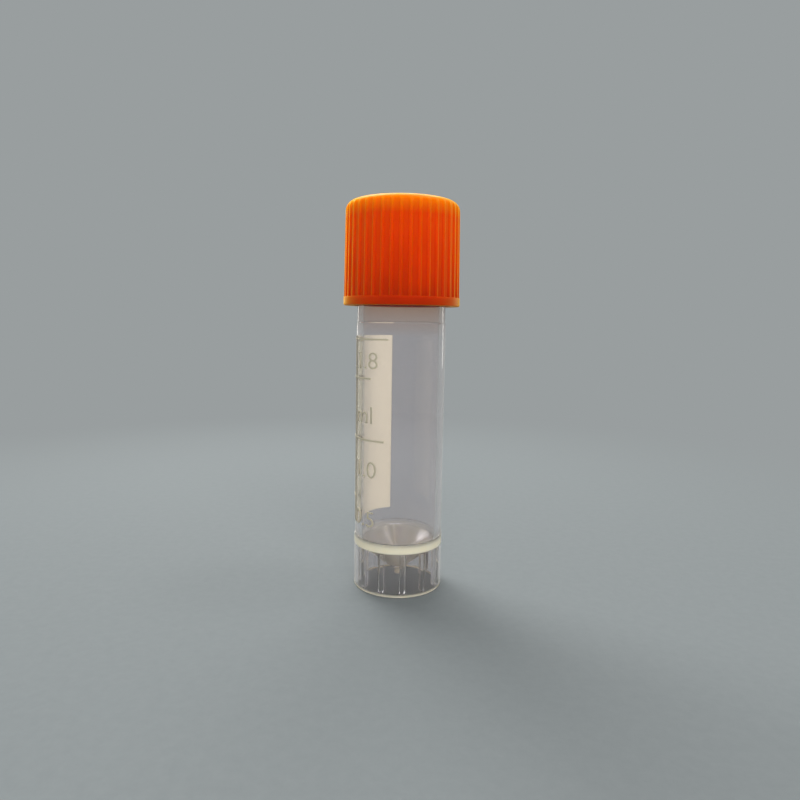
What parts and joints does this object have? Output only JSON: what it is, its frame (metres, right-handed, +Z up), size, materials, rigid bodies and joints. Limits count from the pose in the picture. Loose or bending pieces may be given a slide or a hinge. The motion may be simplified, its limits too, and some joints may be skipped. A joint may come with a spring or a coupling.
{
  "type": "cryogenic vial",
  "caption": "Self-standing cryogenic vial: translucent tube with conical bottom and ribbed skirt, closed by a ribbed orange screw cap with a sealing ring.",
  "frame": {"origin": "on the vial's axis, at the foot of the standing skirt", "axes": "+Z up along the vial's axis from foot to cap; the volume marks are on the -Y side, towards -X"},
  "size_m": [0.014, 0.014, 0.0468],
  "materials": {
    "tube": "translucent moulded polypropylene",
    "cap": "satin moulded polypropylene",
    "gasket": "matt silicone"
  },
  "bodies": {
    "tube": {"tube": "tube"},
    "seal": {"gasket": "gasket"},
    "cap": {"cap": "cap"}
  },
  "joints": [
    {"name": "cap_rise", "type": "slide", "parent": "tube", "child": "seal", "axis": [0, 0, 1], "range_m": [0, 0.0125]},
    {"name": "cap_turn", "type": "hinge", "parent": "seal", "child": "cap", "pos_m": [0, 0, 0.041], "axis": [0, 0, 1], "range_deg": [0, 1800]}
  ],
  "couplings": [
    {"joint": "cap_turn", "follows": "cap_rise", "rad_per_m": 2513.3}
  ]
}
